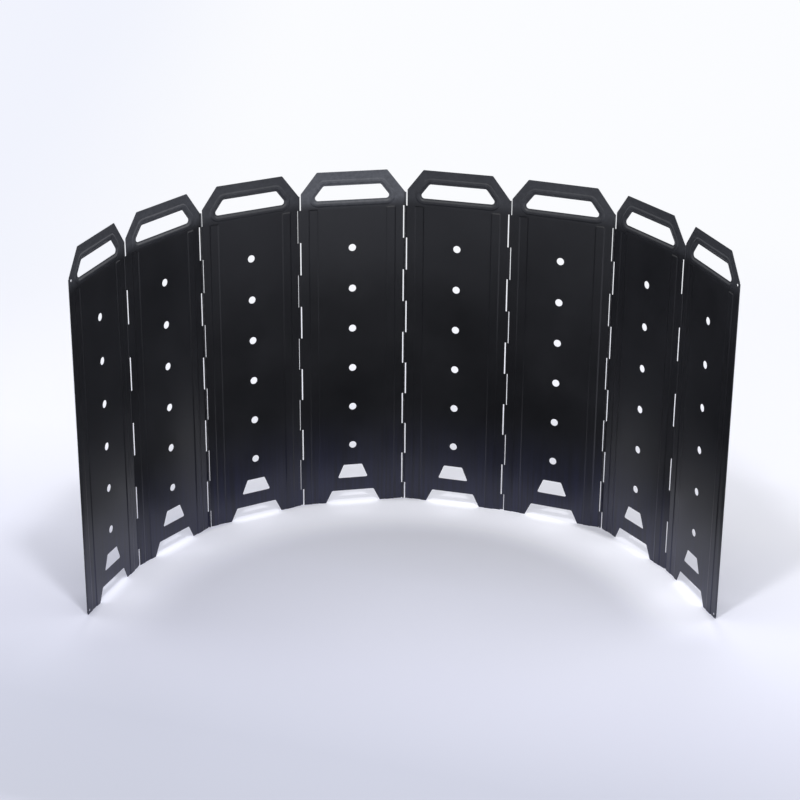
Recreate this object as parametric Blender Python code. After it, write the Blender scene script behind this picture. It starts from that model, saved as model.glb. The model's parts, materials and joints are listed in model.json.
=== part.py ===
"""Folding wall of pressed steel panels that stands on the ground behind a campfire.

Like panels are joined edge to edge by rolled knuckles and long hinge rods, and the wall stands in an
arc on the panels' feet. Metres, +Z up. +X runs to the right as seen from the fire, +Y runs away from
the fire, and the origin lies on the ground in the middle of the wall's footprint.

A panel is drawn flat first: u runs along it from its left hinge axis, z is height, and depth is how far
a pressing stands behind the sheet's middle, so the fire side is at negative depth. The Solidify
modifier then gives the bent sheet its thickness.
"""
import math

import bmesh
import bpy
from mathutils import Vector
from mathutils.geometry import delaunay_2d_cdt

MM = 0.001

# The wall as it stands: one fold for each hinge, in degrees, closed towards the fire
FIRST_HEADING = 70.0
REST_FOLDS = (15.6, 24.5, 18.9, 26.4, 6.5, 36.4, 12.0)
PANEL_COUNT = len(REST_FOLDS) + 1
ROOT_PANEL = 4

# Sheet and panel outline
SHEET = 0.6 * MM
PANEL_PITCH = 178 * MM
PANEL_HEIGHT = 600 * MM
SHOULDER_DROP = 40 * MM
SHOULDER_HEIGHT = PANEL_HEIGHT - SHOULDER_DROP
TOP_INSET = 30.4 * MM
TOP_CORNER_RADIUS = 2.5 * MM

# Handle slot, whose sides and top follow the outline. The bead round it slopes from its lip, behind the
# sheet, up to a crest on the fire side, and falls steeply back to the flat sheet
HANDLE_BAND = 23.9 * MM
SIDE_BAND = 23 * MM
SLOT_HEIGHT = 25 * MM
SLOT_TOP = PANEL_HEIGHT - HANDLE_BAND
SLOT_BOTTOM = SLOT_TOP - SLOT_HEIGHT
SLOT_RADIUS = 5 * MM
BEAD_CREST = 8 * MM
BEAD_SLOPE = 3 * MM
BEAD_HEIGHT = 0.8 * MM
BEAD_LIP = 0.8 * MM

# Upright ribs: the left one is pressed to the back, the right one to the fire side
RIB_INSET = 15 * MM
RIB_WIDTH = 18 * MM
RIB_SLOPE = 2.5 * MM
RIB_HEIGHT = 1.2 * MM
RIB_RADIUS = 3 * MM
RIB_CREST_RADIUS = 1 * MM
RIB_TOP_GAP = 13 * MM
RIB_TOP = SLOT_BOTTOM - RIB_TOP_GAP

# Arch between the two feet, whose outer parts carry the ribs
FOOT_MARGIN = 8.5 * MM
FOOT_WIDTH = RIB_INSET + RIB_WIDTH + FOOT_MARGIN
ARCH_HEIGHT = 22.5 * MM
ARCH_SLANT = 11 * MM
ARCH_RADIUS = 3 * MM

# Wedge-shaped vent above the arch
WEDGE_GAP = 23.8 * MM
WEDGE_HEIGHT = 24.8 * MM
WEDGE_BOTTOM = ARCH_HEIGHT + WEDGE_GAP
WEDGE_TOP = WEDGE_BOTTOM + WEDGE_HEIGHT
WEDGE_BOTTOM_WIDTH = 52.5 * MM
WEDGE_TOP_WIDTH = 32 * MM
WEDGE_RADIUS = 2 * MM

# Round vents down the middle, spread evenly between the wedge and the slot
VENT_COUNT = 6
VENT_RADIUS = 6.2 * MM
LOWEST_VENT_GAP = 37.7 * MM
HIGHEST_VENT_GAP = 83.2 * MM

# Hinges: the axis lies off the sheet's middle by the knuckle's middle radius
ROD_RADIUS = 0.75 * MM
ROD_CLEARANCE = 0.3 * MM
ROD_END_INSET = 1 * MM
SWING_GAP = 1.65 * MM
KNUCKLE_GAP = 0.4 * MM
KNUCKLE_SWEEP = 290
FULL_KNUCKLES = 9
TOP_KNUCKLE = 23.3 * MM
BOTTOM_KNUCKLE = 29 * MM
HINGE_LIFT = 1 * MM
KNUCKLE_RADIUS = ROD_RADIUS + ROD_CLEARANCE + SHEET / 2
SETBACK = KNUCKLE_RADIUS + SHEET / 2 + SWING_GAP

# Hem along the wall's two free edges, folded to the back, and the small hole at each end of it
HEM_RADIUS = 0.45 * MM
HEM_RETURN = 3.2 * MM
HEM_INSET = 2.5 * MM
EYELET_RADIUS = 2 * MM
EYELET_HEM_GAP = 1.1 * MM
EYELET_INSET = HEM_RETURN + EYELET_HEM_GAP + EYELET_RADIUS
EYELET_DROP = 5.6 * MM

# How finely the round shapes are stepped
KNUCKLE_STEPS = 8
HEM_STEPS = 4
VENT_STEPS = 12
EYELET_STEPS = 8
CORNER_STEPS = 3
SMALL_CORNER_STEPS = 2
ROD_SIDES = 12

PAINT = ("black_stove_paint", (0.012, 0.012, 0.014), 0.62, 0.0)
STEEL = ("rod_steel", (0.42, 0.41, 0.40), 0.38, 1.0)


def clear_scene():
    for item in list(bpy.data.objects):
        bpy.data.objects.remove(item, do_unlink=True)


def make_material(name, colour, roughness, metallic):
    material = bpy.data.materials.new(name)
    material.use_nodes = True
    shader = material.node_tree.nodes["Principled BSDF"]
    shader.inputs["Base Color"].default_value = (*colour, 1.0)
    shader.inputs["Roughness"].default_value = roughness
    shader.inputs["Metallic"].default_value = metallic
    return material


def hinge_depth(hinge):
    """Depth of a hinge's axis: odd hinges stand behind the sheet, even ones on the fire side."""
    if hinge in (0, PANEL_COUNT):
        return 0.0
    return KNUCKLE_RADIUS if hinge % 2 else -KNUCKLE_RADIUS


def knuckle_spans():
    """Bottom and top of each knuckle, from the lowest to the highest."""
    full = (SHOULDER_HEIGHT - TOP_KNUCKLE - BOTTOM_KNUCKLE - HINGE_LIFT) / FULL_KNUCKLES
    first_joint = HINGE_LIFT + BOTTOM_KNUCKLE
    joints = [first_joint + full * step for step in range(FULL_KNUCKLES + 1)]
    bottoms = [HINGE_LIFT] + [joint + KNUCKLE_GAP / 2 for joint in joints]
    tops = [joint - KNUCKLE_GAP / 2 for joint in joints] + [SHOULDER_HEIGHT]
    return list(zip(bottoms, tops))


def owned_spans(side):
    """Knuckles on one edge of a panel: the right edge has both end ones, the left edge those between."""
    return knuckle_spans()[0::2] if side == "right" else knuckle_spans()[1::2]


def chamfer_height(u):
    """Height of the sloping top edge at a distance from the hinge axis."""
    return SHOULDER_HEIGHT + u * (PANEL_HEIGHT - SHOULDER_HEIGHT) / TOP_INSET


def side_profile(side, free):
    """Points of one edge as distance from its axis and height, from the ground up to the top corner."""
    if free:
        return [(0, 0), (0, HEM_INSET), (0, SHOULDER_HEIGHT - HEM_INSET), (0, SHOULDER_HEIGHT)]
    points = [(SETBACK, 0)]
    for low, high in owned_spans(side):
        points += [(SETBACK, low), (0, low), (0, high)]
        if high < SHOULDER_HEIGHT:
            points.append((SETBACK, high))
    if points[-1][0] == SETBACK:
        points.append((SETBACK, chamfer_height(SETBACK)))
    return points


def round_corner(before, corner, after, radius, steps):
    """Points of the arc that rounds one corner of an outline."""
    corner = Vector(corner)
    back = (Vector(before) - corner).normalized()
    ahead = (Vector(after) - corner).normalized()
    half = back.angle(ahead) / 2
    centre = corner + (back + ahead).normalized() * radius / math.sin(half)
    start = corner + back * radius / math.tan(half) - centre
    turn = start.angle_signed(corner + ahead * radius / math.tan(half) - centre)
    arc = []
    for step in range(steps + 1):
        angle = -turn * step / steps
        spun = (start.x * math.cos(angle) - start.y * math.sin(angle),
                start.x * math.sin(angle) + start.y * math.cos(angle))
        arc.append((centre.x + spun[0], centre.y + spun[1]))
    return arc


def rounded_loop(corners, radius, steps):
    loop = []
    for index, corner in enumerate(corners):
        loop += round_corner(corners[index - 1], corner, corners[(index + 1) % len(corners)], radius, steps)
    return loop


def grown_loop(corners, distance):
    """Corners of a counter-clockwise outline after each side moves outwards."""
    grown = []
    for index, corner in enumerate(corners):
        corner = Vector(corner)
        arriving = (corner - Vector(corners[index - 1])).normalized()
        leaving = (Vector(corners[(index + 1) % len(corners)]) - corner).normalized()
        out = Vector((arriving.y + leaving.y, -arriving.x - leaving.x)).normalized()
        reach = distance / out.dot(Vector((arriving.y, -arriving.x)))
        grown.append(tuple(corner + out * reach))
    return grown


def circle_loop(u, z, radius, steps):
    turns = [2 * math.pi * step / steps for step in range(steps)]
    return [(u + radius * math.cos(turn), z + radius * math.sin(turn)) for turn in turns]


def slot_corners():
    """Corners of the handle slot: its top and sides lie one band inside the outline."""
    middle = PANEL_PITCH / 2
    rise = PANEL_HEIGHT - SHOULDER_HEIGHT
    slope_length = math.hypot(TOP_INSET, rise)

    def half_width(height):
        chamfer = (height - SHOULDER_HEIGHT) * TOP_INSET / rise
        return middle - chamfer - SIDE_BAND * slope_length / rise

    low, high = half_width(SLOT_BOTTOM), half_width(SLOT_TOP)
    return [(middle - low, SLOT_BOTTOM), (middle + low, SLOT_BOTTOM),
            (middle + high, SLOT_TOP), (middle - high, SLOT_TOP)]


def vent_heights():
    lowest, highest = WEDGE_TOP + LOWEST_VENT_GAP, SLOT_BOTTOM - HIGHEST_VENT_GAP
    return [lowest + (highest - lowest) * step / (VENT_COUNT - 1) for step in range(VENT_COUNT)]


def wedge_loop():
    middle = PANEL_PITCH / 2
    low, high = WEDGE_BOTTOM_WIDTH / 2, WEDGE_TOP_WIDTH / 2
    corners = [(middle - low, WEDGE_BOTTOM), (middle + low, WEDGE_BOTTOM),
               (middle + high, WEDGE_TOP), (middle - high, WEDGE_TOP)]
    return rounded_loop(corners, WEDGE_RADIUS, SMALL_CORNER_STEPS)


def rib_loop(side, slope, radius):
    """Outline of a rib, open to the ground, drawn in by the width of its sloping wall."""
    near, far, top = RIB_INSET + slope, RIB_INSET + RIB_WIDTH - slope, RIB_TOP - slope
    corners = [(far, 0), (far, top), (near, top), (near, 0)]
    loop = [corners[0]]
    loop += round_corner(*corners[:3], radius, SMALL_CORNER_STEPS)
    loop += round_corner(*corners[1:], radius, SMALL_CORNER_STEPS)
    loop.append(corners[3])
    return loop if side == "left" else [(PANEL_PITCH - u, z) for u, z in reversed(loop)]


def arch_points():
    """Edge of the arch between the feet, from left to right."""
    left_foot, right_foot = (FOOT_WIDTH, 0), (PANEL_PITCH - FOOT_WIDTH, 0)
    left_top = (FOOT_WIDTH + ARCH_SLANT, ARCH_HEIGHT)
    right_top = (PANEL_PITCH - FOOT_WIDTH - ARCH_SLANT, ARCH_HEIGHT)
    points = [left_foot]
    points += round_corner(left_foot, left_top, right_top, ARCH_RADIUS, SMALL_CORNER_STEPS)
    points += round_corner(left_top, right_top, right_foot, ARCH_RADIUS, SMALL_CORNER_STEPS)
    points.append(right_foot)
    return points


def outline_loop(left_free, right_free):
    """Counter-clockwise outline of a whole panel, with the ribs' ends marked along the ground."""
    left = side_profile("left", left_free)
    right = [(PANEL_PITCH - u, z) for u, z in side_profile("right", right_free)]
    top_left, top_right = (TOP_INSET, PANEL_HEIGHT), (PANEL_PITCH - TOP_INSET, PANEL_HEIGHT)
    rib_ends = [RIB_INSET, RIB_INSET + RIB_SLOPE, RIB_INSET + RIB_WIDTH - RIB_SLOPE, RIB_INSET + RIB_WIDTH]
    points = [(u, 0) for u in rib_ends]
    points += arch_points()
    points += [(PANEL_PITCH - u, 0) for u in reversed(rib_ends)]
    points += right
    points += round_corner(right[-1], top_right, top_left, TOP_CORNER_RADIUS, SMALL_CORNER_STEPS)
    points += round_corner(top_right, top_left, left[-1], TOP_CORNER_RADIUS, SMALL_CORNER_STEPS)
    points += reversed(left)
    return points


def eyelet_loops(side):
    """The two small holes beside a free edge, near its bottom and its top."""
    u = EYELET_INSET if side == "left" else PANEL_PITCH - EYELET_INSET
    heights = (EYELET_DROP, SHOULDER_HEIGHT - EYELET_DROP)
    return [circle_loop(u, z, EYELET_RADIUS, EYELET_STEPS) for z in heights]


def panel_loops(left_free, right_free):
    """Every outline drawn on the flat panel, as (points, depth, is it a hole)."""
    slot = slot_corners()
    middle = PANEL_PITCH / 2
    loops = [(outline_loop(left_free, right_free), 0, False)]
    loops.append((rounded_loop(slot, SLOT_RADIUS, CORNER_STEPS), BEAD_LIP, True))
    for distance, depth in ((BEAD_CREST, -BEAD_HEIGHT), (BEAD_CREST + BEAD_SLOPE, 0)):
        ring = rounded_loop(grown_loop(slot, distance), SLOT_RADIUS + distance, CORNER_STEPS)
        loops.append((ring, depth, False))
    for height in vent_heights():
        loops.append((circle_loop(middle, height, VENT_RADIUS, VENT_STEPS), 0, True))
    loops.append((wedge_loop(), 0, True))
    for side, depth in (("left", RIB_HEIGHT), ("right", -RIB_HEIGHT)):
        loops.append((rib_loop(side, 0, RIB_RADIUS), 0, False))
        loops.append((rib_loop(side, RIB_SLOPE, RIB_CREST_RADIUS), depth, False))
    for side, free in (("left", left_free), ("right", right_free)):
        if free:
            loops += [(loop, 0, True) for loop in eyelet_loops(side)]
    return loops


def fill_panel(bm, loops):
    """Fill the flat panel between its outlines and press the ribs and the bead out of it."""
    points, depths, faces = [], [], []
    for loop, depth, _hole in loops:
        faces.append(list(range(len(points), len(points) + len(loop))))
        points += [Vector(point) for point in loop]
        depths += [depth] * len(loop)
    holes = {index for index, (_loop, _depth, hole) in enumerate(loops) if hole}
    flat, _edges, triangles, sources, _edge_sources, parents = delaunay_2d_cdt(points, [], faces, 1, 1e-7)
    verts = []
    for point, origin in zip(flat, sources):
        pressed = max((depths[index] for index in origin), key=abs)
        verts.append(bm.verts.new((point.x, pressed, point.y)))
    for triangle, inside in zip(triangles, parents):
        if 0 in inside and not holes.intersection(inside):
            bm.faces.new([verts[index] for index in triangle])


def nearest_vert(bm, u, z):
    target = Vector((u, 0, z))
    return min(bm.verts, key=lambda vert: (vert.co - target).length_squared)


def bend_on(bm, column, places, outward):
    """Carry the sheet on from two of its corners through a row of (u, depth) places."""
    for u, depth in places:
        following = [bm.verts.new((u, depth, vert.co.z)) for vert in column]
        low, high = column
        next_low, next_high = following
        corners = [low, high, next_high, next_low]
        face = bm.faces.new(corners if outward < 0 else reversed(corners))
        face.smooth = True
        column = following


def roll_places(edge_u, outward, centre_depth, sweep, steps):
    """Places along an arc that leaves the flat sheet at its edge and bends round a centre."""
    places = []
    for step in range(1, steps + 1):
        turn = math.radians(sweep) * step / steps
        u = edge_u + outward * abs(centre_depth) * math.sin(turn)
        places.append((u, centre_depth * (1 - math.cos(turn))))
    return places


def roll_knuckles(bm, side, axis_depth):
    edge_u, outward = (0, -1) if side == "left" else (PANEL_PITCH, 1)
    for low, high in owned_spans(side):
        column = [nearest_vert(bm, edge_u, low), nearest_vert(bm, edge_u, high)]
        bend_on(bm, column, roll_places(edge_u, outward, axis_depth, KNUCKLE_SWEEP, KNUCKLE_STEPS), outward)


def fold_hem(bm, side):
    edge_u, outward = (0, -1) if side == "left" else (PANEL_PITCH, 1)
    ends = (HEM_INSET, SHOULDER_HEIGHT - HEM_INSET)
    column = [nearest_vert(bm, edge_u, end) for end in ends]
    places = roll_places(edge_u, outward, HEM_RADIUS, 180, HEM_STEPS)
    places.append((edge_u - outward * HEM_RETURN, 2 * HEM_RADIUS))
    bend_on(bm, column, places, outward)


def panel_mesh(name, left_hinge, origin):
    """Mesh of one panel's bent sheet, with its origin moved to the given (u, depth)."""
    right_hinge = left_hinge + 1
    left_free, right_free = left_hinge == 0, right_hinge == PANEL_COUNT
    bm = bmesh.new()
    fill_panel(bm, panel_loops(left_free, right_free))
    for side, hinge, free in (("left", left_hinge, left_free), ("right", right_hinge, right_free)):
        if free:
            fold_hem(bm, side)
        else:
            roll_knuckles(bm, side, hinge_depth(hinge))
    bmesh.ops.translate(bm, verts=bm.verts, vec=(-origin[0], -origin[1], 0))
    mesh = bpy.data.meshes.new(name)
    bm.to_mesh(mesh)
    bm.free()
    return mesh


def panel_name(number):
    names = {1: "left_end_panel", PANEL_COUNT: "right_end_panel"}
    return names.get(number, f"panel_{number}")


def add_object(name, mesh, material, parent):
    mesh.materials.append(material)
    item = bpy.data.objects.new(name, mesh)
    bpy.context.scene.collection.objects.link(item)
    item.parent = parent
    return item


def add_panel(number, start, heading, material, parent):
    """One panel. Its origin is on the hinge that it swings on, seen from the root panel."""
    hinge = number if number < ROOT_PANEL else number - 1
    origin_u = PANEL_PITCH if number < ROOT_PANEL else 0
    origin = (origin_u, hinge_depth(hinge))
    name = panel_name(number)
    panel = add_object(name, panel_mesh(name, number - 1, origin), material, parent)
    panel.location = panel_point(start, heading, *origin)
    panel.rotation_euler.z = heading
    thickness = panel.modifiers.new("sheet", "SOLIDIFY")
    thickness.thickness = SHEET
    thickness.offset = 0
    thickness.use_even_offset = True
    thickness.use_quality_normals = True
    return panel


def add_rod(number, place, material, parent):
    """Plain steel rod through one hinge's knuckles, a little short of both of its ends."""
    low = HINGE_LIFT + ROD_END_INSET
    length = SHOULDER_HEIGHT - ROD_END_INSET - low
    bm = bmesh.new()
    bmesh.ops.create_cone(bm, cap_ends=True, segments=ROD_SIDES, radius1=ROD_RADIUS, radius2=ROD_RADIUS,
                          depth=length)
    bmesh.ops.translate(bm, verts=bm.verts, vec=(0, 0, low + length / 2))
    for face in bm.faces:
        face.smooth = len(face.verts) == 4
    name = f"hinge_rod_{number}"
    mesh = bpy.data.meshes.new(name)
    bm.to_mesh(mesh)
    bm.free()
    rod = add_object(name, mesh, material, parent)
    rod.location = place
    return rod


def panel_point(start, heading, u, depth):
    """Place on the ground of a point given along and behind a panel."""
    along = Vector((math.cos(heading), math.sin(heading), 0))
    behind = Vector((-math.sin(heading), math.cos(heading), 0))
    return start + along * u + behind * depth


def build_wall():
    wall = bpy.data.objects.new("wall", None)
    bpy.context.scene.collection.objects.link(wall)
    paint = make_material(*PAINT)
    steel = make_material(*STEEL)
    axis = Vector((0, 0, 0))
    heading = math.radians(FIRST_HEADING)
    for number in range(1, PANEL_COUNT + 1):
        start = panel_point(axis, heading, 0, -hinge_depth(number - 1))
        add_panel(number, start, heading, paint, wall)
        axis = panel_point(start, heading, PANEL_PITCH, hinge_depth(number))
        if number < PANEL_COUNT:
            add_rod(number, axis, steel, wall)
            heading -= math.radians(REST_FOLDS[number - 1])
    return wall


def centre_footprint(wall):
    """Move the whole wall so that the middle of its footprint is the origin."""
    bpy.context.view_layer.update()
    depsgraph = bpy.context.evaluated_depsgraph_get()
    places = []
    for item in wall.children:
        solid = item.evaluated_get(depsgraph)
        places += [item.matrix_world @ vert.co for vert in solid.data.vertices]
    for side in range(2):
        values = [place[side] for place in places]
        wall.location[side] = -(min(values) + max(values)) / 2
    bpy.context.view_layer.update()


clear_scene()
centre_footprint(build_wall())
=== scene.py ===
import json
import math

import bmesh
import bpy
from mathutils import Matrix, Vector


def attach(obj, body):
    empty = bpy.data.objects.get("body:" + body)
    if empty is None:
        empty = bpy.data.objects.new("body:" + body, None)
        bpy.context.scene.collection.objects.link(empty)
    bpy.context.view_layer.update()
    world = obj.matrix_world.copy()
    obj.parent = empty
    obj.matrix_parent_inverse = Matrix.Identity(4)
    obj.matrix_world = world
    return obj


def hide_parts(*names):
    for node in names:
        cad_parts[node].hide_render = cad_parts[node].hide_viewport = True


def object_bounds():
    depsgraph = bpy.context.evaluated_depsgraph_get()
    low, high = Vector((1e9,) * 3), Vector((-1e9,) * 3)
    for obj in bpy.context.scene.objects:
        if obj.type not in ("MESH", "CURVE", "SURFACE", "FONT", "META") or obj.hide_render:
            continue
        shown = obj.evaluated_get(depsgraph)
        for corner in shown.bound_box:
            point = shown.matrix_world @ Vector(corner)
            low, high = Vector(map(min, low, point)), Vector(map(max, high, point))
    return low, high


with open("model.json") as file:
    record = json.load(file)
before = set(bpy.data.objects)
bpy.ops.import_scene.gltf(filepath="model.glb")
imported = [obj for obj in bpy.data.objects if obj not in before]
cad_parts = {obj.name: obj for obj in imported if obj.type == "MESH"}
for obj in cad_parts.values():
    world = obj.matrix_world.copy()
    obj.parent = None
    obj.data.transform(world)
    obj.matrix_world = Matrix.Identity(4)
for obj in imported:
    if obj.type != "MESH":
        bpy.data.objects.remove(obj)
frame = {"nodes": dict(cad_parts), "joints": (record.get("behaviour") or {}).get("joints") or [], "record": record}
solid_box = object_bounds()
MM = 0.001

# The wall as it stands
# Eight alike panels of black sheet steel are hinged edge to edge and set out in an arc, hollow side to
# the front. The knuckles of odd hinges stand behind the sheet and those of even hinges in front of it, so
# that the wall closes like an accordion.
FIRST_HEADING = 70.0
REST_FOLDS = (15.6, 24.5, 18.9, 26.4, 6.5, 36.4, 12.0)
PANEL_COUNT = len(REST_FOLDS) + 1
PANEL_PITCH = 178 * MM
SHEET = 0.6 * MM
ROD_RADIUS = 0.75 * MM
ROD_CLEARANCE = 0.3 * MM
KNUCKLE_RADIUS = ROD_RADIUS + ROD_CLEARANCE + SHEET / 2

hinge_places = {int(joint["name"].split("_")[1]): Vector((*joint["pos_m"][:2], 0))
                for joint in frame["joints"]}
panel_bodies = ["left_end"] + [f"leaf_{number}" for number in range(2, PANEL_COUNT)] + ["right_end"]


def hinge_side(hinge):
    """1 where the knuckles stand behind the sheet, -1 in front of it, 0 at the wall's free edges."""
    if hinge in (0, PANEL_COUNT):
        return 0
    return 1 if hinge % 2 else -1


def panel_place(number):
    """Matrix that stands a panel, drawn along +X with its back towards +Y, in its place in the wall."""
    turn = Matrix.Rotation(math.radians(FIRST_HEADING - sum(REST_FOLDS[:number - 1])), 4, "Z")
    hinge = max(number - 1, 1)
    along = 0 if number > 1 else PANEL_PITCH
    start = hinge_places[hinge] - turn @ Vector((along, hinge_side(hinge) * KNUCKLE_RADIUS, 0))
    return Matrix.Translation(start) @ turn


# Guide lines of a pressed panel
# Each panel is blanked and pressed from one sheet of cold-rolled steel. These lines are the drawing of
# its tools: the cut edges, the handle slot, the feet, and the two ribs, all in bench coordinates, with x
# along the panel from its left hinge line and y up it.
PANEL_HEIGHT = 600 * MM
SHOULDER_DROP = 40 * MM
SHOULDER_HEIGHT = PANEL_HEIGHT - SHOULDER_DROP
TOP_INSET = 30.4 * MM
TOP_CORNER_RADIUS = 2.5 * MM
HANDLE_BAND = 23.9 * MM
SIDE_BAND = 23 * MM
SLOT_HEIGHT = 25 * MM
SLOT_TOP = PANEL_HEIGHT - HANDLE_BAND
SLOT_BOTTOM = SLOT_TOP - SLOT_HEIGHT
SLOT_RADIUS = 5 * MM
RIB_INSET = 15 * MM
RIB_WIDTH = 18 * MM
RIB_RADIUS = 4.3 * MM
RIB_TOP_GAP = 13 * MM
FOOT_MARGIN = 8.5 * MM
FOOT_WIDTH = RIB_INSET + RIB_WIDTH + FOOT_MARGIN
ARCH_HEIGHT = 22.5 * MM
ARCH_SLANT = 11 * MM
ARCH_RADIUS = 3 * MM
WEDGE_GAP = 23.8 * MM
WEDGE_HEIGHT = 24.8 * MM
WEDGE_BOTTOM_WIDTH = 52.5 * MM
WEDGE_TOP_WIDTH = 32 * MM
WEDGE_RADIUS = 2 * MM
EYELET_RADIUS = 2 * MM
EYELET_INSET = 6.3 * MM
EYELET_DROP = 5.6 * MM
HEM_INSET = 2.5 * MM
KNUCKLE_PITCH = 56.3 * MM
KNUCKLE_GAP = 0.4 * MM
LOWEST_JOINT = 30 * MM
HINGE_LIFT = 1 * MM
KNUCKLE_COUNT = 11
SWING_GAP = 1.65 * MM
SETBACK = KNUCKLE_RADIUS + SHEET / 2 + SWING_GAP
ARC_STEP = math.radians(7.5)


def arc(centre, radius, start, sweep):
    """Points along a round stretch, stepped finely enough to look round from close by."""
    steps = max(3, round(abs(sweep) / ARC_STEP))
    turns = [start + sweep * step / steps for step in range(steps + 1)]
    return [(centre[0] + radius * math.cos(turn), centre[1] + radius * math.sin(turn)) for turn in turns]


def round_corner(before, corner, after, radius):
    """The arc that rounds one corner of an outline."""
    corner, before, after = Vector(corner), Vector(before), Vector(after)
    back, ahead = (before - corner).normalized(), (after - corner).normalized()
    half = back.angle(ahead) / 2
    centre = corner + (back + ahead).normalized() * radius / math.sin(half)
    first = corner + back * radius / math.tan(half) - centre
    last = corner + ahead * radius / math.tan(half) - centre
    start = math.atan2(first.y, first.x)
    sweep = (math.atan2(last.y, last.x) - start + math.pi) % (2 * math.pi) - math.pi
    return arc(centre, radius, start, sweep)


def rounded_loop(corners, radius):
    """A closed outline with all its corners rounded."""
    loop = []
    for index, corner in enumerate(corners):
        loop += round_corner(corners[index - 1], corner, corners[(index + 1) % len(corners)], radius)
    return loop


def slot_line():
    """Edge of the handle slot, counter-clockwise, one band inside the panel's outline."""
    middle = PANEL_PITCH / 2
    slope = math.hypot(TOP_INSET, SHOULDER_DROP) / SHOULDER_DROP
    halves = [middle - (height - SHOULDER_HEIGHT) * TOP_INSET / SHOULDER_DROP - SIDE_BAND * slope
              for height in (SLOT_BOTTOM, SLOT_TOP)]
    corners = [(middle - halves[0], SLOT_BOTTOM), (middle + halves[0], SLOT_BOTTOM),
               (middle + halves[1], SLOT_TOP), (middle - halves[1], SLOT_TOP)]
    return rounded_loop(corners, SLOT_RADIUS)


def wedge_line():
    """Edge of the wedge-shaped vent above the arch."""
    middle, low, high = PANEL_PITCH / 2, WEDGE_BOTTOM_WIDTH / 2, WEDGE_TOP_WIDTH / 2
    bottom = ARCH_HEIGHT + WEDGE_GAP
    corners = [(middle - low, bottom), (middle + low, bottom),
               (middle + high, bottom + WEDGE_HEIGHT), (middle - high, bottom + WEDGE_HEIGHT)]
    return rounded_loop(corners, WEDGE_RADIUS)


def rib_line(mirrored):
    """Foot of a rib, from the ground up one side, across its square top and down again."""
    near, far, top = RIB_INSET, RIB_INSET + RIB_WIDTH, SLOT_BOTTOM - RIB_TOP_GAP
    corners = [(far, 0), (far, top), (near, top), (near, 0)]
    line = corners[:1] + round_corner(*corners[:3], RIB_RADIUS) + round_corner(*corners[1:], RIB_RADIUS)
    line += corners[3:]
    return [(PANEL_PITCH - x, y) for x, y in reversed(line)] if mirrored else line


def knuckle_spans(side):
    """Bottom and top of one edge's knuckles. The right edge has both end ones, the left those between."""
    joints = [LOWEST_JOINT + KNUCKLE_PITCH * step for step in range(KNUCKLE_COUNT - 1)]
    bottoms = [HINGE_LIFT] + [joint + KNUCKLE_GAP / 2 for joint in joints]
    tops = [joint - KNUCKLE_GAP / 2 for joint in joints] + [SHOULDER_HEIGHT]
    spans = list(zip(bottoms, tops))
    return spans[0::2] if side == "right" else spans[1::2]


def edge_line(side, free):
    """One upright edge of the blank, from the ground up, as (distance from the hinge line, height)."""
    if free:
        return [(0, 0), (0, HEM_INSET), (0, SHOULDER_HEIGHT - HEM_INSET), (0, SHOULDER_HEIGHT)]
    line = [(SETBACK, 0)]
    for low, high in knuckle_spans(side):
        line += [(SETBACK, low), (0, low), (0, high)]
        if high < SHOULDER_HEIGHT:
            line.append((SETBACK, high))
    if side == "left":
        line.append((SETBACK, SHOULDER_HEIGHT + SETBACK * SHOULDER_DROP / TOP_INSET))
    return line


def outline_lines(left_free, right_free):
    """The two stretches of the blank's edge between the ribs: the arch, and the edge round the top."""
    left_foot, right_foot = (FOOT_WIDTH, 0), (PANEL_PITCH - FOOT_WIDTH, 0)
    left_arch = (FOOT_WIDTH + ARCH_SLANT, ARCH_HEIGHT)
    right_arch = (PANEL_PITCH - FOOT_WIDTH - ARCH_SLANT, ARCH_HEIGHT)
    below = [(RIB_INSET + RIB_WIDTH, 0), left_foot]
    below += round_corner(left_foot, left_arch, right_arch, ARCH_RADIUS)
    below += round_corner(left_arch, right_arch, right_foot, ARCH_RADIUS)
    below += [right_foot, (PANEL_PITCH - RIB_INSET - RIB_WIDTH, 0)]
    left = edge_line("left", left_free)
    right = [(PANEL_PITCH - x, y) for x, y in edge_line("right", right_free)]
    top_left, top_right = (TOP_INSET, PANEL_HEIGHT), (PANEL_PITCH - TOP_INSET, PANEL_HEIGHT)
    above = [(PANEL_PITCH - RIB_INSET, 0)] + right
    above += round_corner(right[-1], top_right, top_left, TOP_CORNER_RADIUS)
    above += round_corner(top_right, top_left, left[-1], TOP_CORNER_RADIUS)
    above += left[::-1] + [(RIB_INSET, 0)]
    return [below, above]


def guide_lines(left_free, right_free):
    """The tools' drawing: the slot, the left rib and the right rib come first, then every cut edge."""
    lines = [(slot_line(), True), (rib_line(False), False), (rib_line(True), False)]
    lines += [(line, False) for line in outline_lines(left_free, right_free)]
    lines.append((wedge_line(), True))
    insets = [EYELET_INSET] * left_free + [PANEL_PITCH - EYELET_INSET] * right_free
    for inset in insets:
        for height in (EYELET_DROP, SHOULDER_HEIGHT - EYELET_DROP):
            lines.append((arc((inset, height), EYELET_RADIUS, 0, 2 * math.pi)[:-1], True))
    drawing = bpy.data.curves.new("tool_drawing", "CURVE")
    drawing.dimensions = "3D"
    for points, closed in lines:
        spline = drawing.splines.new("POLY")
        spline.points.add(len(points) - 1)
        for point, (x, y) in zip(spline.points, points):
            point.co = (x, y, 0, 1)
        spline.use_cyclic_u = closed
    item = bpy.data.objects.new("tool_drawing", drawing)
    bpy.context.scene.collection.objects.link(item)
    return item


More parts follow.
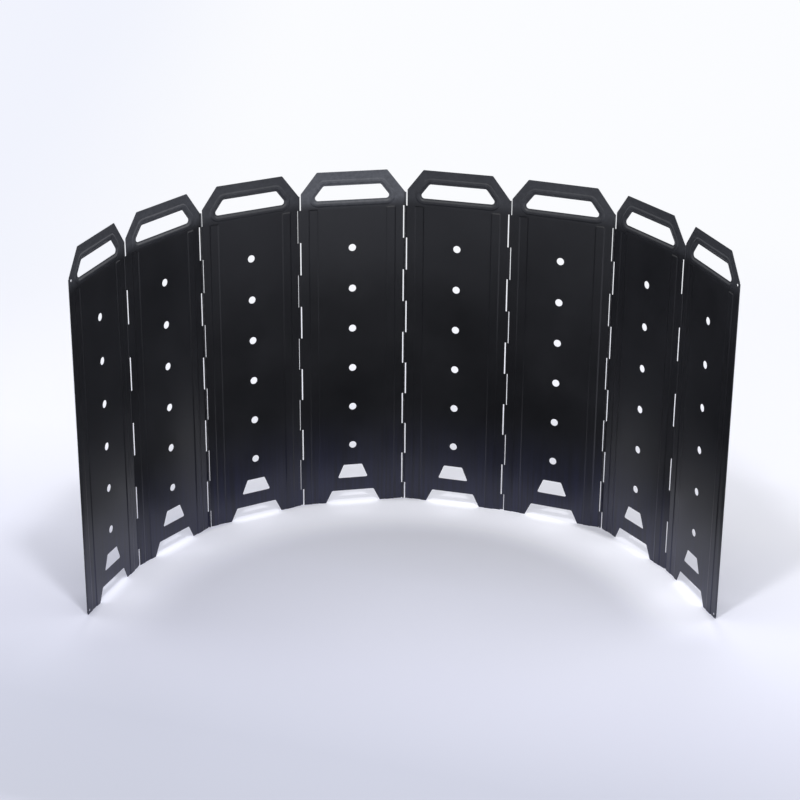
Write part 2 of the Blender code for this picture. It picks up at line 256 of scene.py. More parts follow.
# Black stove paint
# Heat-resistant satin paint, sprayed on and baked, with a fine dry grain. Round the handle slots it is greyer
# where hands carry the folded wall, with a painted sheen over that, set panel by panel. On the knuckles it is
# greyer where neighbouring knuckles rub, with a painted highlight. Towards the ground it has a painted
# reflection of the pale floor, bluish, in upright streaks. Two attributes on the panels say how much of the
# first two.
PAINT_COLOUR = (0.0120, 0.0124, 0.0150)
PAINT_SPREAD = (0.8, 1.2)
PAINT_ROUGHNESS = (0.30, 0.38)
PAINT_SPECULAR = 0.5
# Knuckles: greyer rubbed paint together with a painted highlight.
RUBBED_AND_HIGHLIGHT_COLOUR = (0.055, 0.055, 0.058, 1)
RUBBED_AND_HIGHLIGHT_PATCHES = (0.45, 0.7)
# Handle band: grey handling wear together with a painted sheen.
HANDLED_AND_SHEEN_COLOUR = (0.120, 0.126, 0.144, 1)
HANDLED_AND_SHEEN_SPREAD = (0.55, 0.95)
HANDLED_AND_SHEEN_FROM = SHOULDER_HEIGHT - 26 * MM
HANDLED_AND_SHEEN_TO = SHOULDER_HEIGHT - 4 * MM
# Painted reflection of the pale floor: bluish, low on the panels, in upright streaks.
FLOOR_REFLECTION_COLOUR = (0.020, 0.022, 0.054, 1)
FLOOR_REFLECTION_SPREAD = (0.4, 1.0)
FLOOR_REFLECTION_STREAKS = (0.35, 0.65)
FLOOR_REFLECTION_TOP = 190 * MM
STREAK_STRETCH = 0.03
DENT_DEPTH = 0.5 * MM
GRAIN_DEPTH = 0.03 * MM
GRAIN_STRENGTH = 0.25
# Scale, detail and roughness of each noise, and the range that most of any noise lies in.
CLOUDS = (9.0, 4.0, 0.55)
PATCHES = (160.0, 3.0, 0.7)
STREAKS = (260.0, 2.0, 0.5)
DENTS = (75.0, 2.0, 0.5)
GRAIN = (1400.0, 3.0, 0.6)
USUAL_NOISE = (0.3, 0.7)


def add_node(tree, kind, inputs=None, **choices):
    """Add a node to a tree, make its choices, and set or link its inputs."""
    node = tree.nodes.new(kind)
    for name, value in choices.items():
        setattr(node, name, value)
    for socket, value in (inputs or {}).items():
        if isinstance(value, bpy.types.NodeSocket):
            tree.links.new(value, node.inputs[socket])
        else:
            node.inputs[socket].default_value = value
    return node


def wire(tree, kind, inputs=None, out=0, **choices):
    """Add a node and hand back one of its outputs."""
    return add_node(tree, kind, inputs, **choices).outputs[out]


def maths(tree, operation, first, second=0.0):
    return wire(tree, "ShaderNodeMath", {0: first, 1: second}, operation=operation)


def spread(tree, value, known, wanted=(0.0, 1.0)):
    """Stretch a value from its known range over the wanted one, and hold it inside."""
    return wire(tree, "ShaderNodeMapRange", {"Value": value, "From Min": known[0], "From Max": known[1],
                                             "To Min": wanted[0], "To Max": wanted[1]}, "Result")


def smooth_step(tree, value, start, end):
    """Rise softly from 0 at the start to 1 at the end."""
    return wire(tree, "ShaderNodeMapRange", {"Value": value, "From Min": start, "From Max": end}, "Result",
                interpolation_type="SMOOTHSTEP")


def noise(tree, place, settings):
    scale, detail, roughness = settings
    return wire(tree, "ShaderNodeTexNoise", {"Vector": place, "Scale": scale, "Detail": detail,
                                             "Roughness": roughness}, "Fac")


def blend(tree, share, first, second):
    """Go from the first colour to the second by a share."""
    return wire(tree, "ShaderNodeMix", {"Factor": share, "A": first, "B": second}, "Result", data_type="RGBA")


def new_material(name):
    """A material, its tree, its Principled shader and the Object coordinates."""
    material = bpy.data.materials.new(name)
    material.use_nodes = True
    tree = material.node_tree
    return material, tree, tree.nodes["Principled BSDF"], wire(tree, "ShaderNodeTexCoord", None, "Object")


def stove_paint():
    material, tree, shader, place = new_material("black_stove_paint")
    height = wire(tree, "ShaderNodeSeparateXYZ", {0: place}, "Z")
    clouds = noise(tree, place, CLOUDS)
    patches = noise(tree, place, PATCHES)

    tone = spread(tree, clouds, USUAL_NOISE, PAINT_SPREAD)
    sprayed = wire(tree, "ShaderNodeVectorMath", {0: PAINT_COLOUR, "Scale": tone}, operation="SCALE")
    # Handle band: greyer where hands carry the wall, with a painted sheen over it.
    band = smooth_step(tree, height, HANDLED_AND_SHEEN_FROM, HANDLED_AND_SHEEN_TO)
    wear_and_sheen = wire(tree, "ShaderNodeAttribute", None, "Fac", attribute_name="handled_and_sheen")
    handled_and_sheen = maths(tree, "MULTIPLY", spread(tree, patches, USUAL_NOISE, HANDLED_AND_SHEEN_SPREAD),
                    maths(tree, "MULTIPLY", band, wear_and_sheen))
    greyed = blend(tree, handled_and_sheen, sprayed, HANDLED_AND_SHEEN_COLOUR)

    # Painted reflection of the pale floor, bluish towards the ground and broken into upright streaks.
    upright = wire(tree, "ShaderNodeMapping", {"Vector": place, "Scale": (1.0, 1.0, STREAK_STRETCH)})
    streaks = spread(tree, noise(tree, upright, STREAKS), FLOOR_REFLECTION_STREAKS, FLOOR_REFLECTION_SPREAD)
    low = smooth_step(tree, height, FLOOR_REFLECTION_TOP, 0.0)
    floor_reflected = blend(tree, maths(tree, "MULTIPLY", low, streaks), greyed, FLOOR_REFLECTION_COLOUR)

    # Knuckles: rubbed paint together with a painted highlight along their curl.
    rubbed = wire(tree, "ShaderNodeAttribute", None, "Fac", attribute_name="rubbed")
    worn_and_highlit = maths(tree, "MULTIPLY", rubbed, spread(tree, patches, RUBBED_AND_HIGHLIGHT_PATCHES))
    tree.links.new(blend(tree, worn_and_highlit, floor_reflected, RUBBED_AND_HIGHLIGHT_COLOUR), shader.inputs["Base Color"])

    shader.inputs["Specular IOR Level"].default_value = PAINT_SPECULAR
    tree.links.new(spread(tree, clouds, USUAL_NOISE, PAINT_ROUGHNESS), shader.inputs["Roughness"])
    dented = maths(tree, "MULTIPLY", noise(tree, place, DENTS), band)
    dents = wire(tree, "ShaderNodeBump", {"Height": dented, "Strength": 1.0, "Distance": DENT_DEPTH})
    grained = wire(tree, "ShaderNodeBump", {"Height": noise(tree, place, GRAIN), "Normal": dents,
                                            "Strength": GRAIN_STRENGTH, "Distance": GRAIN_DEPTH})
    tree.links.new(grained, shader.inputs["Normal"])
    return material


paint = stove_paint()

# Pressed panels
# One sheet of 0.6 mm steel each. The tools press a bead round the handle slot and two upright ribs, the
# left one to the back and the right one to the front, and pierce a row of round vents. Tabs along the
# hinge edges are rolled into knuckles, and the wall's two free edges are folded into a hem.
BEAD_RIM = 1.3 * MM
BEAD_WALL = 4.2 * MM
BEAD_CREST = 8 * MM
BEAD_SLOPE = 3 * MM
BEAD_HEIGHT = 0.8 * MM
BEAD_LIP = 0.8 * MM
BEAD_STEPS = 34
RIB_SLOPE = 2.8 * MM
RIB_HEIGHT = 0.9 * MM
RIB_STEPS = 14
FLAT_MARGIN = 0.4 * MM
VENT_COUNT = 6
VENT_RADIUS = 6.2 * MM
VENT_STEPS = 40
LOWEST_VENT_GAP = 37.7 * MM
HIGHEST_VENT_GAP = 83.2 * MM
LOWEST_VENT = ARCH_HEIGHT + WEDGE_GAP + WEDGE_HEIGHT + LOWEST_VENT_GAP
HIGHEST_VENT = SLOT_BOTTOM - HIGHEST_VENT_GAP
KNUCKLE_SWEEP = math.radians(290)
KNUCKLE_STEPS = 25
# Where along a curl the rubbed paint and its painted highlight begin and are full.
RUB_AND_HIGHLIGHT_START, RUB_AND_HIGHLIGHT_FULL = 0.2, 1.2
HEM_RADIUS = 0.45 * MM
HEM_RETURN = 3.2 * MM
HEM_STEPS = 14
WELD = 0.005 * MM
MATCH = 0.01
SHARP_EDGE = math.radians(35)
# Share of handling wear and painted sheen in each panel's handle band, larger on panels whose band catches more
# light.
HANDLE_WEAR_AND_SHEEN = (0.45, 0.56, 0.34, 0.92, 0.28, 0.32, 0.31, 0.31)


def point(tree, x=0.0, y=0.0, z=0.0):
    return wire(tree, "ShaderNodeCombineXYZ", {"X": x, "Y": y, "Z": z})


def spot(tree):
    """The x, y and z of each point of the geometry that the values go to."""
    return add_node(tree, "ShaderNodeSeparateXYZ", {0: wire(tree, "GeometryNodeInputPosition")}).outputs


def set_down(tree, geometry, place):
    return wire(tree, "GeometryNodeSetPosition", {"Geometry": geometry, "Position": place})


def mark(tree, geometry, name, value):
    return wire(tree, "GeometryNodeStoreNamedAttribute", {"Geometry": geometry, "Name": name, "Value": value},
                data_type="FLOAT")


def join(tree, parts):
    node = tree.nodes.new("GeometryNodeJoinGeometry")
    for part in parts:
        tree.links.new(part, node.inputs["Geometry"])
    return node.outputs["Geometry"]


def pick(tree, geometry, value, wanted, domain):
    """Split off the part of a geometry whose value is the wanted one."""
    chosen = wire(tree, "FunctionNodeCompare", {"A": value, "B": wanted, "Epsilon": MATCH}, operation="EQUAL")
    return add_node(tree, "GeometryNodeSeparateGeometry", {"Geometry": geometry, "Selection": chosen},
                    domain=domain).outputs


def pressed_strip(tree, path, width, steps, height):
    """Sweep a pressing's cross-section along a path. height is a function of the distance across."""
    line = wire(tree, "GeometryNodeCurvePrimitiveLine", {"Start": (0, 0, 0), "End": (1, 0, 0)})
    section = wire(tree, "GeometryNodeResampleCurve", {"Curve": line, "Count": steps})
    share = wire(tree, "GeometryNodeSplineParameter", None, "Factor")
    distance = maths(tree, "MULTIPLY", share, width)
    bent = set_down(tree, mark(tree, section, "across", share), point(tree, distance, height(distance)))
    return wire(tree, "GeometryNodeCurveToMesh", {"Curve": path, "Profile Curve": bent})


def rim(tree, strip, share):
    """The edge line of a pressed strip, at its near side (0) or its far side (1)."""
    across = wire(tree, "GeometryNodeInputNamedAttribute", {"Name": "across"}, "Attribute", data_type="FLOAT")
    return pick(tree, strip, across, share, "POINT")["Selection"]


def level(tree, geometry):
    """Lay a pressed line back on the sheet's own plane."""
    here = spot(tree)
    return set_down(tree, geometry, point(tree, here["X"], here["Y"]))


def fill(tree, wires):
    """The flat sheet inside closed lines, with a hole inside each line that another one encloses."""
    welded = wire(tree, "GeometryNodeMergeByDistance", {"Geometry": wires, "Distance": WELD})
    lines = wire(tree, "GeometryNodeMeshToCurve", {"Mesh": welded})
    closed = wire(tree, "GeometryNodeSetSplineCyclic", {"Geometry": lines, "Cyclic": True})
    return wire(tree, "GeometryNodeFillCurve", {"Curve": closed}, mode="TRIANGLES")


def rolled_row(tree, edge, outward, side, count, tabs, roll):
    """A row of flat tabs that stand out from an edge, each rolled round a centre off the sheet.

    tabs is (bottom of the first, pitch, height), and roll (radius, sweep, straight end, steps).
    """
    first, pitch, height = tabs
    radius, sweep, straight, steps = roll
    curved = radius * sweep
    reach = curved + straight
    tab = wire(tree, "GeometryNodeMeshGrid",
               {"Size X": reach, "Size Y": height, "Vertices X": steps, "Vertices Y": 2}, "Mesh")
    laid = wire(tree, "GeometryNodeTransform", {"Geometry": tab, "Translation": (reach / 2, height / 2, 0)})
    places = wire(tree, "GeometryNodeMeshLine",
                  {"Count": count, "Start Location": (0, first, 0), "Offset": (0, pitch, 0)})
    row = wire(tree, "GeometryNodeInstanceOnPoints", {"Points": places, "Instance": laid})
    loose = wire(tree, "GeometryNodeRealizeInstances", {"Geometry": row})
    here = spot(tree)
    turn = maths(tree, "MINIMUM", maths(tree, "DIVIDE", here["X"], radius), sweep)
    past = maths(tree, "MAXIMUM", maths(tree, "SUBTRACT", here["X"], curved), 0.0)
    reached = maths(tree, "SUBTRACT", maths(tree, "MULTIPLY", maths(tree, "SINE", turn), radius), past)
    raised = maths(tree, "MULTIPLY", maths(tree, "SUBTRACT", 1.0, maths(tree, "COSINE", turn)), radius)
    across = maths(tree, "ADD", edge, maths(tree, "MULTIPLY", reached, outward))
    up = wire(tree, "ShaderNodeClamp", {"Value": here["Y"], "Min": HINGE_LIFT, "Max": SHOULDER_HEIGHT})
    # Rubbed paint and painted highlight, growing round the curl.
    rubbed = mark(tree, loose, "rubbed", smooth_step(tree, turn, RUB_AND_HIGHLIGHT_START, RUB_AND_HIGHLIGHT_FULL))
    return set_down(tree, rubbed, point(tree, across, up, maths(tree, "MULTIPLY", raised, side)))


def panel_tree():
    """Geometry Nodes tree that presses, pierces, rolls and hems one sheet from its guide lines."""
    tree = bpy.data.node_groups.new("pressed_panel", "GeometryNodeTree")
    tree.interface.new_socket("Sheet", in_out="OUTPUT", socket_type="NodeSocketGeometry")
    sizes = {"Drawing": "Object", "Panel Pitch": "Float", "Bead Rim": "Float", "Bead Wall": "Float",
             "Bead Crest": "Float", "Bead Slope": "Float", "Bead Height": "Float", "Bead Lip": "Float",
             "Rib Slope": "Float", "Rib Height": "Float",
             "Vent Count": "Int", "Vent Radius": "Float", "Lowest Vent": "Float", "Highest Vent": "Float",
             "Left Knuckles": "Int", "Left Side": "Float", "Right Knuckles": "Int", "Right Side": "Float",
             "Left Hems": "Int", "Right Hems": "Int", "Paint": "Material"}
    for name, kind in sizes.items():
        tree.interface.new_socket(name, in_out="INPUT", socket_type=f"NodeSocket{kind}")
    given = tree.nodes.new("NodeGroupInput").outputs

    def plus(first, second):
        return maths(tree, "ADD", first, second)

    def times(first, second):
        return maths(tree, "MULTIPLY", first, second)

    # The drawing's first three lines are the slot and the two ribs, and the rest are cut edges.
    rest = wire(tree, "GeometryNodeObjectInfo", {"Object": given["Drawing"]}, "Geometry")
    index = wire(tree, "GeometryNodeInputIndex")
    pressed = []
    for _line in range(3):
        split = pick(tree, rest, index, 0.0, "CURVE")
        pressed.append(split["Selection"])
        rest = split["Inverted"]
    slot, left_rib, right_rib = pressed
    cuts = wire(tree, "GeometryNodeCurveToMesh", {"Curve": rest})

    def bead_height(distance):
        """From the lip behind the sheet over the wall to the crest in front, and down to the flat."""
        wall_end = plus(given["Bead Rim"], given["Bead Wall"])
        slope_end = plus(given["Bead Crest"], given["Bead Slope"])
        wall = smooth_step(tree, distance, given["Bead Rim"], wall_end)
        slope = smooth_step(tree, distance, given["Bead Crest"], slope_end)
        crest = maths(tree, "SUBTRACT", given["Bead Lip"],
                      times(wall, plus(given["Bead Height"], given["Bead Lip"])))
        return plus(crest, times(slope, given["Bead Height"]))

    def rib_height(side):
        def height(distance):
            slope = smooth_step(tree, maths(tree, "ABSOLUTE", distance), FLAT_MARGIN,
                                plus(given["Rib Slope"], FLAT_MARGIN))
            return times(slope, times(given["Rib Height"], side))
        return height

    bead_width = plus(plus(given["Bead Crest"], given["Bead Slope"]), FLAT_MARGIN)
    rib_width = times(plus(given["Rib Slope"], 2 * FLAT_MARGIN), -1.0)
    bead = pressed_strip(tree, slot, bead_width, BEAD_STEPS, bead_height)
    ribs = [pressed_strip(tree, left_rib, rib_width, RIB_STEPS, rib_height(1.0)),
            pressed_strip(tree, right_rib, rib_width, RIB_STEPS, rib_height(-1.0))]

    vent = wire(tree, "GeometryNodeCurvePrimitiveCircle",
                {"Resolution": VENT_STEPS, "Radius": given["Vent Radius"]})
    middle = times(given["Panel Pitch"], 0.5)
    centres = wire(tree, "GeometryNodeMeshLine",
                   {"Count": given["Vent Count"], "Start Location": point(tree, middle, given["Lowest Vent"]),
                    "Offset": point(tree, middle, given["Highest Vent"])}, mode="END_POINTS")
    rings = wire(tree, "GeometryNodeInstanceOnPoints", {"Points": centres, "Instance": vent})
    pierced = wire(tree, "GeometryNodeRealizeInstances", {"Geometry": rings})
    vents = wire(tree, "GeometryNodeCurveToMesh", {"Curve": pierced})

    edges = [cuts, vents, rim(tree, bead, 1.0)] + [rim(tree, rib, 0.0) for rib in ribs]
    flat = fill(tree, join(tree, edges))
    floors = []
    for rib, side in zip(ribs, (-1.0, 1.0)):
        floor = fill(tree, level(tree, rim(tree, rib, 1.0)))
        sunk = point(tree, z=times(given["Rib Height"], side))
        floors.append(wire(tree, "GeometryNodeTransform", {"Geometry": floor, "Translation": sunk}))

    pitch, tall = 2 * KNUCKLE_PITCH, KNUCKLE_PITCH - KNUCKLE_GAP
    right_tabs = (LOWEST_JOINT - KNUCKLE_PITCH + KNUCKLE_GAP / 2, pitch, tall)
    left_tabs = (LOWEST_JOINT + KNUCKLE_GAP / 2, pitch, tall)
    hem_tab = (HEM_INSET, 0.0, SHOULDER_HEIGHT - 2 * HEM_INSET)
    knuckle = (KNUCKLE_RADIUS, KNUCKLE_SWEEP, 0.0, KNUCKLE_STEPS)
    hem = (HEM_RADIUS, math.pi, HEM_RETURN, HEM_STEPS)
    right = given["Panel Pitch"]
    rows = [rolled_row(tree, right, 1.0, given["Right Side"], given["Right Knuckles"], right_tabs, knuckle),
            rolled_row(tree, 0.0, -1.0, given["Left Side"], given["Left Knuckles"], left_tabs, knuckle),
            rolled_row(tree, right, 1.0, -1.0, given["Right Hems"], hem_tab, hem),
            rolled_row(tree, 0.0, -1.0, -1.0, given["Left Hems"], hem_tab, hem)]

    whole = join(tree, [flat, bead] + ribs + floors + rows)
    welded = wire(tree, "GeometryNodeMergeByDistance", {"Geometry": whole, "Distance": WELD})
    upright = wire(tree, "GeometryNodeTransform", {"Geometry": welded, "Rotation": (math.pi / 2, 0, 0)})
    real = wire(tree, "GeometryNodeRealizeInstances", {"Geometry": upright})
    painted = wire(tree, "GeometryNodeSetMaterial", {"Geometry": real, "Material": given["Paint"]})
    tree.links.new(painted, tree.nodes.new("NodeGroupOutput").inputs["Sheet"])
    return tree


def plain_mesh(item):
    """The evaluated object as a plain mesh, with its modifiers removed."""
    bpy.context.view_layer.update()
    mesh = bpy.data.meshes.new_from_object(item.evaluated_get(bpy.context.evaluated_depsgraph_get()))
    item.modifiers.clear()
    item.data = mesh
    return mesh


press = panel_tree()
press_inputs = {socket.name: socket.identifier for socket in press.interface.items_tree
                if socket.in_out == "INPUT"}


def press_panel(number):
    left_free, right_free = number == 1, number == PANEL_COUNT
    body = panel_bodies[number - 1]
    panel = bpy.data.objects.new(f"pressed_sheet_{number}", bpy.data.meshes.new("sheet"))
    bpy.context.scene.collection.objects.link(panel)
    drawing = guide_lines(left_free, right_free)
    sizes = {"Drawing": drawing, "Panel Pitch": PANEL_PITCH, "Bead Rim": BEAD_RIM, "Bead Wall": BEAD_WALL,
             "Bead Crest": BEAD_CREST, "Bead Slope": BEAD_SLOPE, "Bead Height": BEAD_HEIGHT,
             "Bead Lip": BEAD_LIP, "Rib Slope": RIB_SLOPE, "Rib Height": RIB_HEIGHT,
             "Vent Count": VENT_COUNT, "Vent Radius": VENT_RADIUS,
             "Lowest Vent": LOWEST_VENT, "Highest Vent": HIGHEST_VENT,
             "Left Knuckles": 0 if left_free else len(knuckle_spans("left")),
             "Left Side": -1.0 * hinge_side(number - 1),
             "Right Knuckles": 0 if right_free else len(knuckle_spans("right")),
             "Right Side": -1.0 * hinge_side(number),
             "Left Hems": int(left_free), "Right Hems": int(right_free), "Paint": paint}
    modifier = panel.modifiers.new("press", "NODES")
    modifier.node_group = press
    for name, value in sizes.items():
        modifier[press_inputs[name]] = value
    mesh = plain_mesh(panel)
    bpy.data.objects.remove(drawing)
    bm = bmesh.new()
    bm.from_mesh(mesh)
    bmesh.ops.recalc_face_normals(bm, faces=bm.faces)
    bm.to_mesh(mesh)
    bm.free()
    mesh.transform(panel_place(number))
    thickness = panel.modifiers.new("sheet", "SOLIDIFY")
    thickness.thickness = SHEET
    thickness.offset = 0
    thickness.use_even_offset = True
    thickness.use_quality_normals = True
    finished = plain_mesh(panel)
    finished.materials.clear()
    finished.materials.append(paint)
    finished.polygons.foreach_set("material_index", [0] * len(finished.polygons))
    for vertex in finished.vertices:
        vertex.co = [min(max(value, low), high) for value, low, high in zip(vertex.co, *solid_box)]
    # Handling wear and painted sheen in this panel's handle band.
    handled_and_sheen = finished.attributes.new("handled_and_sheen", "FLOAT", "POINT")
    handled_and_sheen.data.foreach_set("value", [HANDLE_WEAR_AND_SHEEN[number - 1]] * len(finished.vertices))
    finished.shade_smooth()
    finished.set_sharp_from_angle(angle=SHARP_EDGE)
    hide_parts(frame["record"]["behaviour"]["bodies"][body][0])
    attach(panel, body)


for number in range(1, PANEL_COUNT + 1):
    press_panel(number)

# Hinge rods
# One plain drawn steel rod through the knuckles of each pair of panels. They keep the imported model's own
# shape and get the look of bare drawn wire: fine lines along the rod and a little dulling.
ROD_DARK = (0.36, 0.355, 0.35, 1)
ROD_LIGHT = (0.5, 0.495, 0.49, 1)
ROD_ROUGHNESS = (0.3, 0.42)
DRAW_LINES = (3000.0, 2.0, 0.5)
DRAW_LINE_STRETCH = 0.02


def drawn_steel():
    material, tree, shader, place = new_material("drawn_rod_steel")
    along = wire(tree, "ShaderNodeMapping", {"Vector": place, "Scale": (1.0, 1.0, DRAW_LINE_STRETCH)})
    lines = noise(tree, along, DRAW_LINES)
    shader.inputs["Metallic"].default_value = 1.0
    tree.links.new(blend(tree, lines, ROD_DARK, ROD_LIGHT), shader.inputs["Base Color"])
    tree.links.new(spread(tree, lines, (0.0, 1.0), ROD_ROUGHNESS), shader.inputs["Roughness"])
    return material


steel = drawn_steel()
for number in range(1, PANEL_COUNT):
    rod = frame["nodes"][f"hinge_rod_{number}"]
    for slot in rod.material_slots:
        slot.material = steel

# Studio floor
# A wide pale floor that keeps the wall's soft shadows. Its colour carries painted shade: greyest in front on
# the left and palest behind, darker still beyond its sides. It turns into the white background with distance.
# A painted glow along the inside of the panels' arc, most of it on the right, stands in for light that the
# panels throw down.
FLOOR_HALF = 30.0
FLOOR_ROUGHNESS = 0.7
FLOOR_SPECULAR = 0.1
FLOOR_SLANT = 0.35
# Painted shade: the floor's colour from front to back, darker where less light falls.
FLOOR_TONES = ((-1.4, (0.88, 0.90, 1.0, 1)), (-1.05, (0.84, 0.86, 0.98, 1)), (-0.9, (0.53, 0.545, 0.63, 1)),
               (-0.65, (0.565, 0.58, 0.675, 1)), (-0.4, (0.69, 0.70, 0.81, 1)),
               (-0.1, (0.84, 0.85, 0.96, 1)), (0.3, (0.91, 0.915, 0.98, 1)))
# Painted shade beyond the wall's sides.
ASIDE_LEAN, ASIDE_FRONT = 0.6, -0.5
ASIDE_START, ASIDE_FULL = 0.66, 1.0
ASIDE_NEAR, ASIDE_AHEAD = -0.35, -0.7
ASIDE_LOSS = 0.6
ARC_CENTRE = (0.0, -0.28, 0.0)
# Painted light: a glowing rim on the floor inside the arc, in place of light thrown down by the panels.
RIM_START, RIM_FULL, RIM_HOLD, RIM_END = 0.345, 0.455, 0.48, 0.497
RIM_OPEN, RIM_CLOSED = -0.32, -0.16
RIM_SIDES = (-0.3, 0.3)
RIM_LEVELS = (0.18, 0.30)
RIM_COLOUR = (0.93, 0.94, 1.0, 1)
RIM_MIRRORED = 0.3
FADE_START, FADE_END = 0.75, 1.9
BACKGROUND_LEFT = (0.88, 0.90, 0.985, 1)
BACKGROUND_RIGHT = (0.965, 0.975, 1.0, 1)
BACKGROUND_SIDES = (-1.1, -0.3)


def add_stage(name, mesh, material):
    item = bpy.data.objects.new(name, mesh)
    bpy.context.scene.collection.objects.link(item)
    mesh.materials.append(material)
    return item


def seen_directly(tree, rays):
    return maths(tree, "MAXIMUM", rays["Is Camera Ray"], rays["Is Transmission Ray"])


def floor_tone(tree, here):
    """Painted shade: a grey ramp from front to back, darker still beyond the wall's sides."""
    depth = maths(tree, "ADD", here["Y"], maths(tree, "MULTIPLY", here["X"], FLOOR_SLANT))
    first, last = FLOOR_TONES[0][0], FLOOR_TONES[-1][0]
    tones = add_node(tree, "ShaderNodeValToRGB", {"Fac": spread(tree, depth, (first, last))})
    ramp = tones.color_ramp
    while len(ramp.elements) < len(FLOOR_TONES):
        ramp.elements.new(0.5)
    for element, (reach, tone) in zip(ramp.elements, FLOOR_TONES):
        element.position = (reach - first) / (last - first)
        element.color = tone
    lean = maths(tree, "MULTIPLY", maths(tree, "SUBTRACT", here["Y"], ASIDE_FRONT), ASIDE_LEAN)
    aside = maths(tree, "ABSOLUTE", maths(tree, "ADD", here["X"], lean))
    beyond = maths(tree, "MULTIPLY", smooth_step(tree, aside, ASIDE_START, ASIDE_FULL),
                   smooth_step(tree, here["Y"], ASIDE_NEAR, ASIDE_AHEAD))
    kept = maths(tree, "SUBTRACT", 1.0, maths(tree, "MULTIPLY", beyond, ASIDE_LOSS))
    return wire(tree, "ShaderNodeVectorMath", {0: tones.outputs["Color"], "Scale": kept}, operation="SCALE")


def painted_rim_light(tree, place, here, rays):
    """Strength of a painted glow in a rim inside the arc, weaker where the paint's gloss mirrors it."""
    from_centre = wire(tree, "ShaderNodeVectorMath", {0: place, 1: ARC_CENTRE}, "Value", operation="DISTANCE")
    band = maths(tree, "MULTIPLY", smooth_step(tree, from_centre, RIM_START, RIM_FULL),
                 smooth_step(tree, from_centre, RIM_END, RIM_HOLD))
    inside = maths(tree, "MULTIPLY", band, smooth_step(tree, here["Y"], RIM_OPEN, RIM_CLOSED))
    strength = maths(tree, "MULTIPLY", inside, spread(tree, here["X"], RIM_SIDES, RIM_LEVELS))
    mirrored = maths(tree, "MULTIPLY", rays["Is Glossy Ray"], 1.0 - RIM_MIRRORED)
    return maths(tree, "MULTIPLY", strength, maths(tree, "SUBTRACT", 1.0, mirrored))


def studio_floor():
    mesh = bpy.data.meshes.new("floor")
    corners = [(-FLOOR_HALF, -FLOOR_HALF, 0), (FLOOR_HALF, -FLOOR_HALF, 0),
               (FLOOR_HALF, FLOOR_HALF, 0), (-FLOOR_HALF, FLOOR_HALF, 0)]
    mesh.from_pydata(corners, [], [(0, 1, 2, 3)])
    material, tree, shader, place = new_material("pale_floor")
    here = add_node(tree, "ShaderNodeSeparateXYZ", {0: place}).outputs
    rays = add_node(tree, "ShaderNodeLightPath").outputs
    shader.inputs["Roughness"].default_value = FLOOR_ROUGHNESS
    shader.inputs["Specular IOR Level"].default_value = FLOOR_SPECULAR
    shader.inputs["Emission Color"].default_value = RIM_COLOUR
    tree.links.new(floor_tone(tree, here), shader.inputs["Base Color"])
    # Painted glow along the inside of the arc.
    tree.links.new(painted_rim_light(tree, place, here, rays), shader.inputs["Emission Strength"])
    far = wire(tree, "ShaderNodeVectorMath", {0: place}, "Value", operation="LENGTH")
    faded = maths(tree, "MULTIPLY", smooth_step(tree, far, FADE_START, FADE_END), seen_directly(tree, rays))
    side = smooth_step(tree, here["X"], *BACKGROUND_SIDES)
    pale = wire(tree, "ShaderNodeEmission",
                {"Color": blend(tree, side, BACKGROUND_LEFT, BACKGROUND_RIGHT), "Strength": 1.0})
    surface = wire(tree, "ShaderNodeMixShader", {0: faded, 1: shader.outputs[0], 2: pale})
    tree.links.new(surface, tree.nodes["Material Output"].inputs["Surface"])
    add_stage("floor", mesh, material)


studio_floor()

# Black card
# A low block of black card inside the arc. Only the gloss of the paint sees it, so that the middle panels
# mirror something dark low down, and the bright floor near their tops.
CARD_LOW = (-0.235, -0.36, 0.001)
CARD_HIGH = (0.235, 0.06, 0.24)
CARD_COLOUR = (0.01, 0.01, 0.01, 1)
CARD_ROUGHNESS = 0.9
CARD_SPECULAR = 0.1


def black_card():
    bm = bmesh.new()
    bmesh.ops.create_cube(bm, size=1)
    low, high = Vector(CARD_LOW), Vector(CARD_HIGH)
    bmesh.ops.scale(bm, verts=bm.verts, vec=high - low)
    bmesh.ops.translate(bm, verts=bm.verts, vec=(high + low) / 2)
    mesh = bpy.data.meshes.new("black_card")
    bm.to_mesh(mesh)
    bm.free()
    material, _tree, shader, _place = new_material("black_card")
    shader.inputs["Base Color"].default_value = CARD_COLOUR
    shader.inputs["Roughness"].default_value = CARD_ROUGHNESS
    shader.inputs["Specular IOR Level"].default_value = CARD_SPECULAR
    card = add_stage("black_card", mesh, material)
    card.visible_camera = card.visible_diffuse = card.visible_shadow = card.visible_transmission = False


black_card()

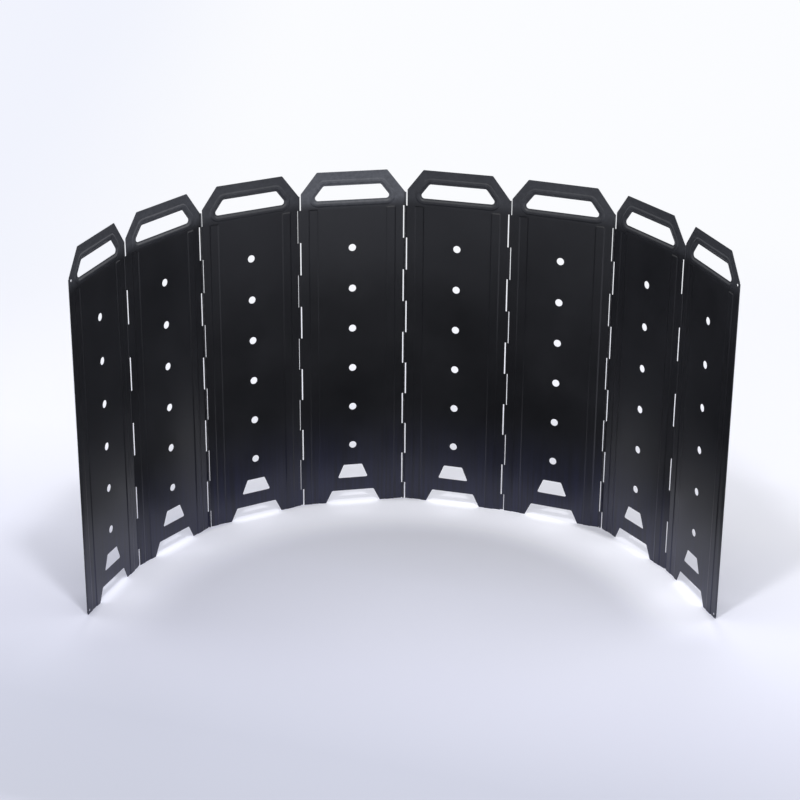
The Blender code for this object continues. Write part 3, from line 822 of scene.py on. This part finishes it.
# Studio light
# A small soft box high in front throws the two outer shadows, and two larger ones beside and a little
# behind the wall the inner ones. Two wide banks, behind and over the camera, and a pale surround fill in.
# The gloss of the paint sees the surround paler towards the right.
SOFT_BOXES = (("key", (-0.09, -0.86, 2.0), (0, 0, 0.2), (0.16, 0.16), 11.5),
              ("left_side", (-1.7, 0.37, 1.9), (0, 0, 0.1), (1.0, 1.0), 6.5),
              ("right_side", (1.7, 0.26, 1.9), (0, 0, 0.1), (1.0, 1.0), 6.5),
              ("back_bank", (0.0, 1.7, 2.5), (0, 0.4, 0), (2.4, 1.2), 16.0),
              ("front_bank", (0.0, -2.6, 2.2), (0, 0.1, 0.4), (2.4, 1.0), 12.0))
SURROUND_STRENGTH = 0.65
MIRRORED_SIDES = (-0.6, 0.6)
MIRRORED_LEVELS = (0.4, 1.0)


def soft_box(name, place, target, size, watts):
    lamp = bpy.data.lights.new(name, "AREA")
    lamp.shape = "RECTANGLE"
    lamp.size, lamp.size_y = size
    lamp.energy = watts
    item = bpy.data.objects.new(name, lamp)
    item.location = place
    item.rotation_euler = (Vector(target) - Vector(place)).to_track_quat("-Z", "Y").to_euler()
    item.visible_camera = False
    bpy.context.scene.collection.objects.link(item)


def pale_surround():
    world = bpy.data.worlds.new("surround")
    bpy.context.scene.world = world
    world.use_nodes = True
    tree = world.node_tree
    rays = add_node(tree, "ShaderNodeLightPath").outputs
    towards = wire(tree, "ShaderNodeTexCoord", None, "Generated")
    sideways = wire(tree, "ShaderNodeSeparateXYZ", {0: towards}, "X")
    mirrored = maths(tree, "MULTIPLY", rays["Is Glossy Ray"],
                     spread(tree, sideways, MIRRORED_SIDES, MIRRORED_LEVELS))
    seen = maths(tree, "MAXIMUM", seen_directly(tree, rays), mirrored)
    background = tree.nodes["Background"]
    background.inputs["Color"].default_value = BACKGROUND_RIGHT
    tree.links.new(maths(tree, "MAXIMUM", seen, SURROUND_STRENGTH), background.inputs["Strength"])


for box in SOFT_BOXES:
    soft_box(*box)
pale_surround()

# Camera
# Long lens in front of the wall and well above it, looking down at it, with a slight lean. Its place and
# angles are worked out from the panels' corners.
CAMERA_PLACE = (-0.00521, -3.16020, 1.61908)
CAMERA_TILT = math.radians(22.996)
CAMERA_LEAN = math.radians(0.412)
LENS_MM = 95.83
SENSOR_MM = 36.0

lens = bpy.data.cameras.new("camera")
lens.sensor_width = SENSOR_MM
lens.lens = LENS_MM
camera = bpy.data.objects.new("camera", lens)
bpy.context.scene.collection.objects.link(camera)
camera.matrix_world = (Matrix.Translation(CAMERA_PLACE)
                       @ Matrix.Rotation(math.pi / 2 - CAMERA_TILT, 4, "X")
                       @ Matrix.Rotation(CAMERA_LEAN, 4, "Z"))
bpy.context.scene.camera = camera
bpy.context.scene.view_settings.view_transform = "Standard"
